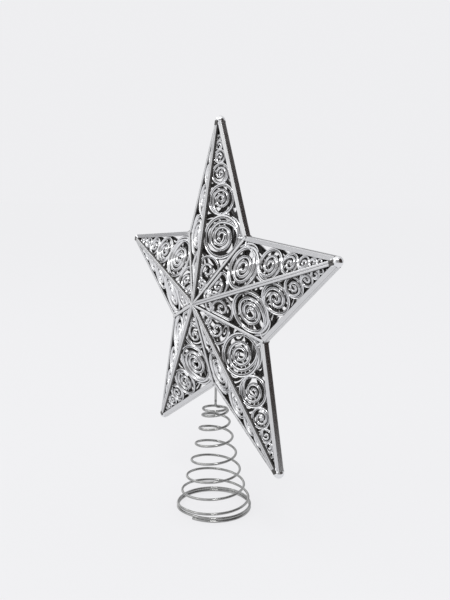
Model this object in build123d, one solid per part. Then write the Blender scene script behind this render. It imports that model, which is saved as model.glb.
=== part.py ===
from build123d import *
import math
import os

# Tree topper: a hollow five-armed star of two openwork half shells, carried on the straight
# end of a conical wire spring. Millimetres, +Z up, the star's front looks along -Y, and the
# origin is on the spring's axis at the level that the base coil stands on.

# Star outline and depth, about the star's own centre
ARM_COUNT = 5
TIP_RADIUS = 112.0  # centre to the middle of a tip bead
NOTCH_RADIUS = 53.6  # centre to the corner between two arms
ARM_END_WIDTH = 6.0  # across an arm where its bead sits
APEX_HEIGHT = 18.6  # seam to the crossing of the ribs
WALL_DEPTH = 1.6  # seam to the edge of the side wall, in each half
WALL_THICK = 1.2
FLANGE_WIDTH = 2.8  # plain border along the side wall
FLANGE_THICK = 1.3
BEAD_DIAMETER = 6.2  # blunt bead that closes an arm
BEAD_LENGTH = 6.0
BEAD_CHAMFER = 1.3
BEAD_SIDES = 8

# Ribs that part the facets
RIDGE_RIB_WIDTH = 2.0
VALLEY_RIB_WIDTH = 1.8
RIB_PROUD = 0.5
RIB_DEPTH = 1.6
RIB_CREST_SHARE = 0.4  # flat crest of a rib, of its width

# Scrolls that fill the facets, from the largest towards a tip and towards the apex
LARGE_SCROLL_SHARE = 0.95  # of the circle that fits between a facet's three borders
STRAND_DEPTH = 1.5
STRAND_LEAST_WIDTH = 0.55
STRAND_WIDTH_SHARE = 0.085  # extra strand width, of the scroll's radius
STRAND_OVERLAP = 0.25  # how far a scroll grows into the ribs and scrolls beside it
SCROLL_EYE_SHARE = 0.19  # inner end of a strand, of the scroll's radius
SCROLL_POWER = 1.7  # above 1 keeps the outer turn nearly round
SCROLL_START_DEG = 85.0
TIP_TURNS = (2.1, 1.75, 1.5, 1.2)
TIP_SIDES = (8, 7, 6, 5)
APEX_TURNS = (1.5, 1)
APEX_SIDES = (6, 4)

# Wire spring: closed neck, open cone and closed base, in one piece with the stem
WIRE_DIAMETER = 1.6
WIRE_SIDES = 4
WIRE_TURN_DEG = 20.0  # turns the faceted wire about its own axis
NECK_RADIUS = 8.0  # axis to the wire's middle
BASE_RADIUS = 23.7
NECK_HEIGHT = 67.7  # table to the middle of the wire that crosses to the stem
NECK_TURNS = 1.0
OPEN_TURNS = 6.25
BASE_TURNS = 2.0
COIL_GAP = 0.6  # between the wires of closed turns
BEND_RADIUS = 2.4  # from the stem into the neck
FLARE_POWER = 1.3
STEEP_SHARE = 0.3  # how far the pitch gathers in the middle of the cone
BASE_RAMP_SHARE = 0.2  # of a base turn, where it steps down a wire
NECK_START_DEG = 21.5
BASE_FLAT_SHARE = 0.1  # of the wire, cut level so that the base coil stands

# Stem and the two half bosses that hold it in the bottom notch
STEM_SHOWN = 11.3  # straight wire between the bend and the boss
STEM_CLEARANCE = 0.05  # all round and at its end
STEM_HELD = 13.0
BOSS_WALL = 0.85
BOSS_DROP = 1.4  # boss below the notch
BOSS_CAP = 1.2
CUT_OVERRUN = 5.0

# How finely the coil is drawn and measured
CONE_ARCS_PER_TURN = 2
BASE_ARCS_PER_TURN = 4
SMALL_TURN = 0.001
GAP_STEP = 0.5

# Places that follow from those sizes
WIRE_RADIUS = WIRE_DIAMETER / 2
CLOSED_PITCH = WIRE_DIAMETER + COIL_GAP
WIRE_FLAT_RADIUS = WIRE_RADIUS * math.cos(math.pi / WIRE_SIDES)
FLOOR_WIRE_Z = WIRE_FLAT_RADIUS - WIRE_DIAMETER * BASE_FLAT_SHARE
OPEN_TOP_Z = NECK_HEIGHT - CLOSED_PITCH * NECK_TURNS
OPEN_LOW_Z = FLOOR_WIRE_Z + CLOSED_PITCH * BASE_TURNS
COIL_TOP_Z = NECK_HEIGHT + BEND_RADIUS + WIRE_DIAMETER
BOSS_LOW_Z = NECK_HEIGHT + BEND_RADIUS + STEM_SHOWN
STEM_TOP_Z = BOSS_LOW_Z + STEM_HELD
STAR_CENTRE_Z = BOSS_LOW_Z + BOSS_DROP + NOTCH_RADIUS
ARM_STEP_DEG = 360 / ARM_COUNT
HALF_STEP = math.radians(ARM_STEP_DEG / 2)
BEAD_TURN_DEG = 180 / BEAD_SIDES

# Corners of one facet, on the left of an arm that points up, seen from the front
APEX = Vector(0, -APEX_HEIGHT, 0)
NOTCH = Vector(-NOTCH_RADIUS * math.sin(HALF_STEP), -WALL_DEPTH, NOTCH_RADIUS * math.cos(HALF_STEP))
ARM_END = Vector(-ARM_END_WIDTH / 2, -WALL_DEPTH, TIP_RADIUS)
FACET_NORMAL = (ARM_END - APEX).cross(NOTCH - APEX).normalized()
RIDGE_DIRECTION = FACET_NORMAL.cross(Vector(1, 0, 0)).normalized()
FACET = Plane(origin=APEX, x_dir=RIDGE_DIRECTION, z_dir=FACET_NORMAL)
RIDGE_LENGTH = TIP_RADIUS / RIDGE_DIRECTION.Z


def inset_point(corners, sides, double_area, distances):
    """The point at these distances from a triangle's sides, each side opposite its corner."""
    place = Vector(0, 0, 0)
    for corner, side, distance in zip(corners, sides, distances):
        place += corner * (side * distance / double_area)
    return place


def scroll_layout():
    """Centre, radius, turns and sides of each scroll: the largest, which touches ridge and
    valley, then circles that shrink towards the tip and towards the apex, each touching the
    one before and both borders. A circle between two borders keeps touching them as it is
    scaled about their corner, and it touches the largest where a quadratic in the scale is 0."""
    notch = FACET.to_local_coords(NOTCH)
    end = FACET.to_local_coords(ARM_END)
    tip = end + (end - notch) * (end.Y / (notch.Y - end.Y))
    corners = (Vector(0, 0, 0), notch, tip)
    sides = ((tip - notch).length, tip.length, notch.length)
    borders = (FLANGE_WIDTH, RIDGE_RIB_WIDTH / 2, VALLEY_RIB_WIDTH / 2)
    double_area = tip.cross(notch).length
    taken = [side * border for side, border in zip(sides, borders)]
    radius = (double_area - sum(taken)) / sum(sides)
    centre = inset_point(corners, sides, double_area, [border + radius for border in borders])
    to_tip = (borders[0], borders[1], (double_area - taken[0] - taken[1]) / sides[2])
    to_apex = ((double_area - taken[1] - taken[2]) / sides[0], borders[1], borders[2])
    tip_corner = inset_point(corners, sides, double_area, to_tip)
    apex_corner = inset_point(corners, sides, double_area, to_apex)
    large = apex_corner + (centre - apex_corner) * LARGE_SCROLL_SHARE
    large_radius = radius * LARGE_SCROLL_SHARE
    scrolls = [(large, large_radius, TIP_TURNS[0], TIP_SIDES[0])]
    for corner, turns, side_counts in (
        (tip_corner, TIP_TURNS[1:], TIP_SIDES[1:]),
        (apex_corner, APEX_TURNS, APEX_SIDES),
    ):
        away = centre - corner
        apart = corner - large
        ratio = (away.length - radius) / (away.length + radius)
        square = away.dot(away) - radius**2
        half_line = apart.dot(away) - large_radius * radius
        rest = apart.dot(apart) - large_radius**2
        shrink = (-half_line - math.sqrt(half_line**2 - square * rest)) / square
        for turn, count in zip(turns, side_counts):
            scrolls.append((corner + away * shrink, radius * shrink, turn, count))
            shrink *= ratio
    return scrolls


def strand(points, width, closed):
    """A bar of triangular section, crest outwards, along a line of straight steps."""
    across = Plane(origin=points[0], x_dir=Vector(0, 0, 1), z_dir=(points[1] - points[0]).normalized())
    section = Polyline((0, 0), (-STRAND_DEPTH, -width / 2), (-STRAND_DEPTH, width / 2), close=True)
    route = Polyline(*points, close=closed)
    return sweep(across * make_face(section), path=route, transition=Transition.RIGHT)


def scroll(centre, radius, turns, side_count):
    """A strand that touches its neighbours on its outer turn and winds to the scroll's eye,
    or a plain ring where there is room for one turn only."""
    width = STRAND_LEAST_WIDTH + STRAND_WIDTH_SHARE * radius
    rim = (radius + STRAND_OVERLAP - width / 2) / math.cos(math.pi / side_count)
    eye = max(radius * SCROLL_EYE_SHARE, width)
    ring = turns <= 1
    count = side_count if ring else round(turns * side_count) + 1
    points = []
    for step in range(count):
        wound = 0 if ring else (step / (count - 1)) ** SCROLL_POWER
        angle = math.radians(SCROLL_START_DEG) - 2 * math.pi * step / side_count
        points.append(centre + Vector(math.cos(angle), math.sin(angle), 0) * (rim - (rim - eye) * wound))
    return strand(points, width, ring)


def rib(direction, length, width):
    """A bar with a narrow crest that runs from the apex along a ridge or a valley."""
    crest = width * RIB_CREST_SHARE / 2
    sideways = direction.cross(Vector(0, 1, 0)).normalized()
    across = Plane(origin=APEX, x_dir=sideways, z_dir=direction)
    outline = Polyline(
        (-width / 2, -RIB_DEPTH),
        (width / 2, -RIB_DEPTH),
        (width / 2, 0),
        (crest, RIB_PROUD),
        (-crest, RIB_PROUD),
        (-width / 2, 0),
        close=True,
    )
    return extrude(across * make_face(outline), amount=length, dir=direction)


def flange():
    """The plain border of one facet, as thick along the moulding's draw as FLANGE_THICK."""
    notch = FACET.to_local_coords(NOTCH)
    end = FACET.to_local_coords(ARM_END)
    along = (end - notch).normalized()
    inwards = Vector(along.Y, -along.X, 0)
    valley = notch.normalized()
    notch_inner = notch - valley * (FLANGE_WIDTH / abs(valley.dot(inwards)))
    end_inner = end + inwards * FLANGE_WIDTH
    foot = Vector(end.X, 0, 0)
    strip = Polyline(notch, end, foot, Vector(end_inner.X, 0, 0), end_inner, notch_inner, close=True)
    return extrude(FACET * make_face(strip), amount=FLANGE_THICK, dir=(0, 1, 0))


def side_wall():
    """The upright wall along the star's outline, from the seam to the flange."""
    corners = []
    for arm in range(ARM_COUNT):
        turn = Rot(0, arm * ARM_STEP_DEG, 0)
        for corner in (NOTCH, ARM_END, Vector(-ARM_END.X, ARM_END.Y, ARM_END.Z)):
            corners.append((turn * Pos(corner.X, 0, corner.Z)).position)
    outline = make_face(Polyline(*corners, close=True))
    hollow = offset(outline, amount=-WALL_THICK, kind=Kind.INTERSECTION)
    return extrude(outline - hollow, amount=WALL_DEPTH, dir=(0, -1, 0))


def tip_bead():
    """Half of the blunt bead that closes an arm."""
    start = Plane.XY.offset(TIP_RADIUS - BEAD_LENGTH / 2)
    outline = start * RegularPolygon(
        BEAD_DIAMETER / 2, BEAD_SIDES, rotation=BEAD_TURN_DEG, major_radius=False
    )
    bead = extrude(outline, amount=BEAD_LENGTH)
    bead = chamfer(bead.faces().sort_by(Axis.Z)[-1].edges(), length=BEAD_CHAMFER)
    return split(bead, bisect_by=Plane.XZ, keep=Keep.TOP)


def boss():
    """Half of the tube in the bottom notch that grips the stem."""
    length = STEM_HELD + STEM_CLEARANCE + BOSS_CAP
    radius = WIRE_RADIUS + STEM_CLEARANCE + BOSS_WALL
    tube = Pos(0, 0, -NOTCH_RADIUS - BOSS_DROP) * Cylinder(
        radius, length, align=(Align.CENTER, Align.CENTER, Align.MIN)
    )
    return split(tube, bisect_by=Plane.XZ, keep=Keep.TOP)


def half_shell():
    """The front half of the star: ten scroll facets between ribs, flanges, wall and beads."""
    facet = [FACET * scroll(*place) for place in scroll_layout()] + [flange()]
    arm = facet + [mirror(piece, about=Plane.YZ) for piece in facet]
    valley = NOTCH - APEX
    arm.append(rib(RIDGE_DIRECTION, RIDGE_LENGTH, RIDGE_RIB_WIDTH))
    arm.append(rib(valley.normalized(), valley.length, VALLEY_RIB_WIDTH))
    arm.append(tip_bead())
    pieces = [Rot(0, step * ARM_STEP_DEG, 0) * piece for step in range(ARM_COUNT) for piece in arm]
    solids = [solid for piece in pieces + [side_wall(), boss()] for solid in piece.solids()]
    shell = solids[0].fuse(*solids[1:])
    bore = Pos(0, 0, -NOTCH_RADIUS - BOSS_DROP - CUT_OVERRUN) * Cylinder(
        WIRE_RADIUS + STEM_CLEARANCE,
        CUT_OVERRUN + STEM_HELD + STEM_CLEARANCE,
        align=(Align.CENTER, Align.CENTER, Align.MIN),
    )
    shell = split(shell - bore, bisect_by=Plane.XZ, keep=Keep.TOP)
    return Pos(0, 0, STAR_CENTRE_Z) * shell


def ease(share):
    """A smooth step from 0 to 1."""
    return share * share * (3 - 2 * share)


def coil_point(turn):
    """The wire's middle after so many turns down from the neck, turning clockwise from above."""
    angle = math.radians(NECK_START_DEG) - 2 * math.pi * turn
    opened = turn - NECK_TURNS
    based = opened - OPEN_TURNS
    if opened < 0:
        reach = NECK_RADIUS
        height = NECK_HEIGHT - CLOSED_PITCH * turn
    elif based < 0:
        share = opened / OPEN_TURNS
        reach = NECK_RADIUS + (BASE_RADIUS - NECK_RADIUS) * share**FLARE_POWER
        gathered = (1 - STEEP_SHARE) * share + STEEP_SHARE * ease(share)
        height = OPEN_TOP_Z - (OPEN_TOP_Z - OPEN_LOW_Z) * gathered
    else:
        level = min(math.floor(based), BASE_TURNS - 1)
        reach = BASE_RADIUS
        height = OPEN_LOW_Z - CLOSED_PITCH * (level + ease(min(1, (based - level) / BASE_RAMP_SHARE)))
    return Vector(reach * math.cos(angle), reach * math.sin(angle), height)


def biarc(start, heading, end, last_heading):
    """Two arcs in space that leave start and reach end along the given headings."""
    chord = end - start
    reach = chord.dot(heading + last_heading)
    bend = 2 * (1 - heading.dot(last_heading)) * chord.dot(chord)
    arm = chord.dot(chord) / (reach + math.sqrt(reach * reach + bend))
    first = start + heading * arm
    second = end - last_heading * arm
    middle = (first + second) / 2
    middle_heading = (second - first).normalized()
    return [
        Edge.make_tangent_arc(start, heading, middle),
        Edge.make_tangent_arc(middle, middle_heading, end),
    ]


def coil_stops():
    """Where the arcs of the coil meet, in turns down from the neck."""
    stops = [0]
    for turns, arcs_per_turn in (
        (NECK_TURNS, CONE_ARCS_PER_TURN),
        (OPEN_TURNS, CONE_ARCS_PER_TURN),
        (BASE_TURNS, BASE_ARCS_PER_TURN),
    ):
        count = math.ceil(turns * arcs_per_turn)
        stops += [stops[-1] + turns * step / count for step in range(1, count + 1)]
    return stops


def coil_edges():
    """The wire's middle line, from its joint with the stem down to its end in the base."""
    top = Vector(0, 0, COIL_TOP_Z)
    down = Vector(0, 0, -1)
    bend_start = Vector(0, 0, NECK_HEIGHT + BEND_RADIUS)
    crossing_radius = (NECK_RADIUS**2 - BEND_RADIUS**2) / (2 * NECK_RADIUS)
    start_angle = math.radians(NECK_START_DEG)
    crossing_angle = start_angle + math.atan2(crossing_radius, BEND_RADIUS)
    outwards = Vector(math.cos(crossing_angle), math.sin(crossing_angle), 0)
    bend_end = outwards * BEND_RADIUS + Vector(0, 0, NECK_HEIGHT)
    stops = coil_stops()
    points = [coil_point(turn) for turn in stops]
    headings = [
        (coil_point(turn + SMALL_TURN) - coil_point(turn - SMALL_TURN)).normalized() for turn in stops
    ]
    headings[0] = Vector(math.sin(start_angle), -math.cos(start_angle), 0)
    headings[-1] = Vector(headings[-1].X, headings[-1].Y, 0).normalized()
    edges = [Edge.make_line(top, bend_start), Edge.make_tangent_arc(bend_start, down, bend_end)]
    edges += biarc(bend_end, outwards, points[0], headings[0])
    for step in range(len(stops) - 1):
        edges += biarc(points[step], headings[step], points[step + 1], headings[step + 1])
    edges.append(Edge.make_line(points[-1], points[-1] + headings[-1] * WIRE_DIAMETER))
    return edges


def coil_spring():
    """The unbroken wire from the stem's end to the base, its underside cut level."""
    path = Wire(coil_edges())
    start = Plane(origin=path @ 0, z_dir=path % 0)
    section = start * RegularPolygon(WIRE_RADIUS, WIRE_SIDES, rotation=WIRE_TURN_DEG)
    wire = sweep(section, path=path, clean=False)
    return split(wire, bisect_by=Plane.XY, keep=Keep.TOP)


def stem():
    """The straight end of the spring wire, up into the boss."""
    return Pos(0, 0, COIL_TOP_Z) * Cylinder(
        WIRE_RADIUS, STEM_TOP_Z - COIL_TOP_Z, align=(Align.CENTER, Align.CENTER, Align.MIN)
    )


def least_coil_gap():
    """The least gap between stretches of the wire that lie more than half a neck turn apart."""
    points = []
    for edge in coil_edges():
        count = math.ceil(edge.length / GAP_STEP)
        points += [tuple(edge @ (step / count)) for step in range(count)]
    apart = math.ceil(math.pi * NECK_RADIUS / GAP_STEP)
    least = min(
        math.dist(points[one], points[two])
        for one in range(len(points))
        for two in range(one + apart, len(points))
    )
    return least - WIRE_DIAMETER


front = half_shell()
nodes = {
    "front_shell": front,
    "back_shell": mirror(front, about=Plane.XZ),
    "coil_spring": coil_spring(),
    "stem": stem(),
}
os.makedirs("parts", exist_ok=True)
for name, shape in nodes.items():
    export_step(shape, os.path.join("parts", name + ".step"))
print("least gap between the coil's wires:", round(least_coil_gap(), 3), "mm")
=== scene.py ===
"""Silver tree topper star: two openwork half shells closed round the straight end of a conical wire spring.

The topper's sizes are in millimetres and become metres where a mesh is made. The studio's are in metres.
+Z is up and the star's front looks along -Y.
"""

import logging
import math
from dataclasses import dataclass
from enum import Enum

import bpy
import numpy as np
from mathutils import Matrix, Vector


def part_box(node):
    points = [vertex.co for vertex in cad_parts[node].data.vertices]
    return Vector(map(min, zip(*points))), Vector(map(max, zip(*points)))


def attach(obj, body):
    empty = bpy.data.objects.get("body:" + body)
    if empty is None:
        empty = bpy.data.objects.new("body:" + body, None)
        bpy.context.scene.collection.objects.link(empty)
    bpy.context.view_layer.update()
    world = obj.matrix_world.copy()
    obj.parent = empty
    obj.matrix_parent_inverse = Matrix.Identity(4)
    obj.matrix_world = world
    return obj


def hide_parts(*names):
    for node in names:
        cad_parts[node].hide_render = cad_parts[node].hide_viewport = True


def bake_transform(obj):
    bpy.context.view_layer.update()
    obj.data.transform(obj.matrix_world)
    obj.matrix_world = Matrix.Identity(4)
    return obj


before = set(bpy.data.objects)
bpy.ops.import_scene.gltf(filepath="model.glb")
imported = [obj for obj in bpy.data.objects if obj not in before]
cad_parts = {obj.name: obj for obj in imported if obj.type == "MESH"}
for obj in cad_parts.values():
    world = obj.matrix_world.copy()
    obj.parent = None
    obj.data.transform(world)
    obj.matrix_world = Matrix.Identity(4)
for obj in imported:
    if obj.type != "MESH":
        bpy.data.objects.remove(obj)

MM = 0.001
WELD = 0.0001  # points whose places agree to this many millimetres become one
ACROSS = np.array([1.0, 0.0, 0.0])
TO_BACK = np.array([0.0, 1.0, 0.0])
UP = np.array([0.0, 0.0, 1.0])

Colour = tuple[float, float, float, float]
Socket = bpy.types.NodeSocket

log = logging.getLogger("topper")


class ShellSide(Enum):
    """Which half of the star a shell is, with the sign of its depth axis."""

    FRONT = 1
    BACK = -1


class StrandForm(Enum):
    """What a scroll holds inside its outer ring."""

    SPIRAL = "a strand that winds in to a bulb"
    RING = "nothing"


def unit(vector: np.ndarray) -> np.ndarray:
    """The vector, or each row of an array of vectors, at length 1."""
    return vector / np.linalg.norm(vector, axis=-1, keepdims=True)


def smooth_step(value: np.ndarray) -> np.ndarray:
    """A smooth rise from 0 to 1 as the value goes from 0 to 1."""
    share = np.clip(value, 0.0, 1.0)
    return share * share * (3 - 2 * share)


def directions(angle: np.ndarray) -> np.ndarray:
    """The unit vectors at these angles in a plane, as rows."""
    return np.column_stack([np.cos(angle), np.sin(angle)])


def run_along(route: np.ndarray) -> np.ndarray:
    """How far along a line each of its points lies."""
    return np.concatenate([[0.0], np.cumsum(np.linalg.norm(np.diff(route, axis=0), axis=1))])


def ends_twice(rows: np.ndarray) -> np.ndarray:
    """The rows with the first and the last of them given twice."""
    return np.concatenate([rows[:1], rows, rows[-1:]])


@dataclass
class Patch:
    """A stretch of surface in millimetres.

    points is (n, 3), quads is (m, 4) and shade is (n,): 0 on open faces, 1 deep inside the openwork.
    """

    points: np.ndarray
    quads: np.ndarray
    shade: np.ndarray

    def outward(self) -> "Patch":
        """The same patch with its faces turned so that the volume inside them is positive.

        Returns:
            The patch itself, or a copy with its faces turned.
        """
        a, b, c, d = (self.points - self.points.mean(axis=0))[self.quads].transpose(1, 0, 2)
        volume = np.sum(a * np.cross(b, c)) + np.sum(a * np.cross(c, d))
        return self if volume > 0 else Patch(self.points, self.quads[:, ::-1], self.shade)

    def mapped(self, matrix: np.ndarray, offset: np.ndarray | None = None) -> "Patch":
        """A copy whose points are matrix times point plus offset, with faces turned where that mirrors it.

        Args:
            matrix: 3 by 3 array whose columns are the images of the axes.
            offset: image of the origin, or None for no move.
        Returns:
            The copy.
        """
        moved = self.points @ matrix.T
        if offset is not None:
            moved = moved + offset
        quads = self.quads[:, ::-1] if np.linalg.det(matrix) < 0 else self.quads
        return Patch(moved, quads, self.shade)

    def merged(self) -> tuple[np.ndarray, np.ndarray]:
        """Finds the points that coincide.

        Returns:
            The first point of each group of points that coincide, and the group of each point.
        """
        keys = np.round(self.points / WELD).astype(np.int64)
        _, first, group = np.unique(keys, axis=0, return_index=True, return_inverse=True)
        return first, group.reshape(-1)

    def welded(self) -> tuple[np.ndarray, np.ndarray, np.ndarray, np.ndarray]:
        """Points that coincide become one, so that poles and mitres are closed.

        Returns:
            Points, quads, triangles (quads of which two corners met) and shades.
        """
        first, group = self.merged()
        corners = group[self.quads]
        same = corners == np.roll(corners, -1, axis=1)
        met = same.sum(axis=1)
        triangles = corners[met == 1][~same[met == 1]].reshape(-1, 3)
        return self.points[first], corners[met == 0], triangles, self.shade[first]


def joined(patches: list[Patch]) -> Patch:
    """One patch that holds all of these."""
    starts = np.cumsum([0] + [len(patch.points) for patch in patches[:-1]])
    return Patch(
        np.concatenate([patch.points for patch in patches]),
        np.concatenate([patch.quads + start for patch, start in zip(patches, starts)]),
        np.concatenate([patch.shade for patch in patches]),
    )


def grid_quads(order: np.ndarray) -> np.ndarray:
    """One quad between each four neighbours in a grid of point numbers."""
    corners = [order[:-1, :-1], order[1:, :-1], order[1:, 1:], order[:-1, 1:]]
    return np.stack(corners, axis=-1).reshape(-1, 4)


def grid_patch(points: np.ndarray, shade: np.ndarray, ring_rows: bool = False) -> Patch:
    """The surface through a grid of points whose last column joins the first.

    Args:
        points: (rows, columns, 3) array.
        shade: shade of each point, or of each column.
        ring_rows: whether the last row joins the first too.
    Returns:
        The patch, faces outwards.
    """
    shape = points.shape[:2]
    order = np.arange(points.size // 3).reshape(shape)
    order = np.pad(order, ((0, int(ring_rows)), (0, 1)), mode="wrap")
    shades = np.broadcast_to(shade, shape).reshape(-1)
    return Patch(points.reshape(-1, 3), grid_quads(order), shades).outward()


def capped(points: np.ndarray) -> np.ndarray:
    """The grid with a first and a last row more, each drawn together in the middle of its neighbour.

    Args:
        points: (rows, columns, 3) array.
    Returns:
        (rows + 2, columns, 3) array.
    """
    first = np.broadcast_to(points[0].mean(axis=0), points[:1].shape)
    last = np.broadcast_to(points[-1].mean(axis=0), points[:1].shape)
    return np.concatenate([first, points, last])


def carried(path: np.ndarray, across: np.ndarray, up: np.ndarray, section: np.ndarray) -> np.ndarray:
    """A profile carried along a path: point (i, j) is path i plus section (i, j) laid on across i and up i.

    Args:
        path: (rows, 3) points.
        across: (rows, 3) or (3,) direction of the section's first coordinate.
        up: (rows, 3) or (3,) direction of its second coordinate.
        section: (rows, columns, 2) or (columns, 2) profile.
    Returns:
        (rows, columns, 3) points.
    """
    rows = len(path)
    across = np.broadcast_to(across, (rows, 3))[:, None, :]
    up = np.broadcast_to(up, (rows, 3))[:, None, :]
    section = np.broadcast_to(section, (rows, *section.shape[-2:]))
    return path[:, None, :] + section[..., :1] * across + section[..., 1:] * up


def level_grid(places: np.ndarray, height: float) -> np.ndarray:
    """A level square grid of points at a height, with the same places along X and Y."""
    x, y = np.meshgrid(places, places, indexing="ij")
    return np.stack([x, y, np.full_like(x, height)], axis=-1)


def make_object(name: str, patch: Patch, material: bpy.types.Material, sharp_deg: float) -> bpy.types.Object:
    """A mesh object at the origin, in metres, smooth but for edges sharper than an angle.

    Args:
        name: the piece's name.
        patch: its surface in millimetres.
        material: its finish.
        sharp_deg: edges that turn by more than this stay sharp.
    Returns:
        The object, linked to the scene.
    """
    points, quads, triangles, shade = patch.welded()
    corners = np.concatenate([quads.ravel(), triangles.ravel()])
    starts = np.concatenate([np.arange(0, quads.size, 4), np.arange(quads.size, corners.size, 3)])
    mesh = bpy.data.meshes.new(name)
    mesh.vertices.add(len(points))
    mesh.vertices.foreach_set("co", (points * MM).astype(np.float32).ravel())
    mesh.loops.add(len(corners))
    mesh.loops.foreach_set("vertex_index", corners.astype(np.int32))
    mesh.polygons.add(len(starts))
    mesh.polygons.foreach_set("loop_start", starts.astype(np.int32))
    mesh.polygons.foreach_set("use_smooth", np.ones(len(starts), dtype=bool))
    mesh.update(calc_edges=True)
    mesh.validate()
    mesh.set_sharp_from_angle(angle=math.radians(sharp_deg))
    # painted shade: each point's shade, which darkens the silver plating's colour
    shades = mesh.attributes.new("painted_shade", "FLOAT", "POINT")
    shades.data.foreach_set("value", shade.astype(np.float32))
    mesh.materials.append(material)
    made = bpy.data.objects.new(name, mesh)
    bpy.context.scene.collection.objects.link(made)
    return made


class Nodes:
    """A node tree under construction."""

    def __init__(self, tree: bpy.types.NodeTree) -> None:
        """Starts with an empty tree."""
        self.tree = tree
        tree.nodes.clear()

    def add(self, kind: str, settings: dict | None = None, /, **inputs: object) -> bpy.types.Node:
        """A new node with its settings and inputs.

        Args:
            kind: Blender's node type.
            settings: attributes of the node, such as its operation.
            inputs: value or output socket for each input, named with _ for a blank, or i0, i1 by number.
        Returns:
            The node.
        """
        node = self.tree.nodes.new(kind)
        for name, value in (settings or {}).items():
            setattr(node, name, value)
        for name, value in inputs.items():
            numbered = name[0] == "i" and name[1:].isdigit()
            socket = node.inputs[int(name[1:]) if numbered else name.replace("_", " ")]
            if isinstance(value, Socket):
                self.tree.links.new(value, socket)
            else:
                socket.default_value = value
        return node

    def math(self, operation: str, first: object, second: object) -> Socket:
        """The result of a Math node."""
        return self.add("ShaderNodeMath", {"operation": operation}, i0=first, i1=second).outputs[0]

    def span(self, value: object, low: float, high: float) -> Socket:
        """A value from 0 to 1 spread over low to high."""
        return self.add("ShaderNodeMapRange", Value=value, To_Min=low, To_Max=high).outputs[0]

    def mix(self, factor: object, first: object, second: object) -> Socket:
        """A mix of two colours."""
        return self.add("ShaderNodeMix", {"data_type": "RGBA"}, i0=factor, i6=first, i7=second).outputs[2]

    def noise(self, place: Socket, scale: object, detail: float) -> Socket:
        """The value of a Noise texture."""
        return self.add("ShaderNodeTexNoise", Vector=place, Scale=scale, Detail=detail).outputs["Fac"]

    def attribute(self, name: str, output: str) -> Socket:
        """An attribute of the mesh."""
        return self.add("ShaderNodeAttribute", {"attribute_name": name}).outputs[output]

    def uneven(
        self, coating: bpy.types.NodeTree, place: Socket, wave: float, grain: float
    ) -> tuple[Socket, Socket]:
        """Places the shared group of uneven metal.

        Args:
            coating: the group.
            place: where on the surface it is read.
            wave: scale of its waves.
            grain: scale of its grain.
        Returns:
            Its tone and its height.
        """
        settings = {"node_tree": coating}
        made = self.add("ShaderNodeGroup", settings, Vector=place, Wave_Scale=wave, Grain_Scale=grain)
        return made.outputs["Tone"], made.outputs["Height"]

    def metal(self, colour: Socket, roughness: Socket, height: Socket, strength: float, depth: float) -> None:
        """Ends a material as bare metal with a fine relief.

        Args:
            colour: its colour.
            roughness: its roughness.
            height: its relief, 0 to 1.
            strength: how much of the relief shows.
            depth: depth of the relief, in metres.
        """
        bump = self.add("ShaderNodeBump", Strength=strength, Distance=depth, Height=height).outputs["Normal"]
        inputs = {"Base_Color": colour, "Metallic": 1.0, "Roughness": roughness, "Normal": bump}
        shader = self.add("ShaderNodeBsdfPrincipled", **inputs)
        self.add("ShaderNodeOutputMaterial", Surface=shader.outputs[0])


def new_material(name: str) -> tuple[bpy.types.Material, Nodes]:
    """A new material with an empty node tree.

    Args:
        name: the material's name.
    Returns:
        The material and its tree.
    """
    made = bpy.data.materials.new(name)
    made.use_nodes = True
    return made, Nodes(made.node_tree)


@dataclass(frozen=True)
class UnevenMetal:
    """The uneven surface that both metals share: broad waves, fine grain and scattered pits.

    The two scales are what the group's inputs start with. Each metal gives its own.
    """

    wave_scale: float = 200.0
    grain_scale: float = 2000.0
    wave_detail: float = 2.0
    grain_detail: float = 3.0
    pit_reach: float = 0.25
    tone_share: float = 0.5
    wave_share: float = 0.7
    relief_share: float = 0.5
    pit_share: float = 0.1

    def group(self) -> bpy.types.NodeTree:
        """The node group: its tone is the mean of wave and grain, its height a weighted sum of all three.

        Returns:
            A group with inputs Vector, Wave Scale, Grain Scale and outputs Tone (0 to 1) and Height (0 to 1).
        """
        tree = bpy.data.node_groups.new("uneven_metal", "ShaderNodeTree")
        tree.interface.new_socket("Vector", in_out="INPUT", socket_type="NodeSocketVector")
        for name, start in (("Wave Scale", self.wave_scale), ("Grain Scale", self.grain_scale)):
            socket = tree.interface.new_socket(name, in_out="INPUT", socket_type="NodeSocketFloat")
            socket.default_value = start
        for name in ("Tone", "Height"):
            tree.interface.new_socket(name, in_out="OUTPUT", socket_type="NodeSocketFloat")
        nodes = Nodes(tree)
        given = nodes.add("NodeGroupInput").outputs
        place, grain_scale = given["Vector"], given["Grain Scale"]
        wave = nodes.noise(place, given["Wave Scale"], self.wave_detail)
        grain = nodes.noise(place, grain_scale, self.grain_detail)
        pits = nodes.add("ShaderNodeTexVoronoi", Vector=place, Scale=grain_scale).outputs["Distance"]
        pit = nodes.add("ShaderNodeMapRange", Value=pits, From_Max=self.pit_reach).outputs[0]
        tone = nodes.math("MULTIPLY", nodes.math("ADD", wave, grain), self.tone_share)
        relief = nodes.math("ADD", nodes.math("MULTIPLY", wave, self.wave_share), grain)
        broad = nodes.math("MULTIPLY", relief, self.relief_share)
        height = nodes.math("ADD", broad, nodes.math("MULTIPLY", pit, self.pit_share))
        nodes.add("NodeGroupOutput", Tone=tone, Height=height)
        return tree


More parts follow.
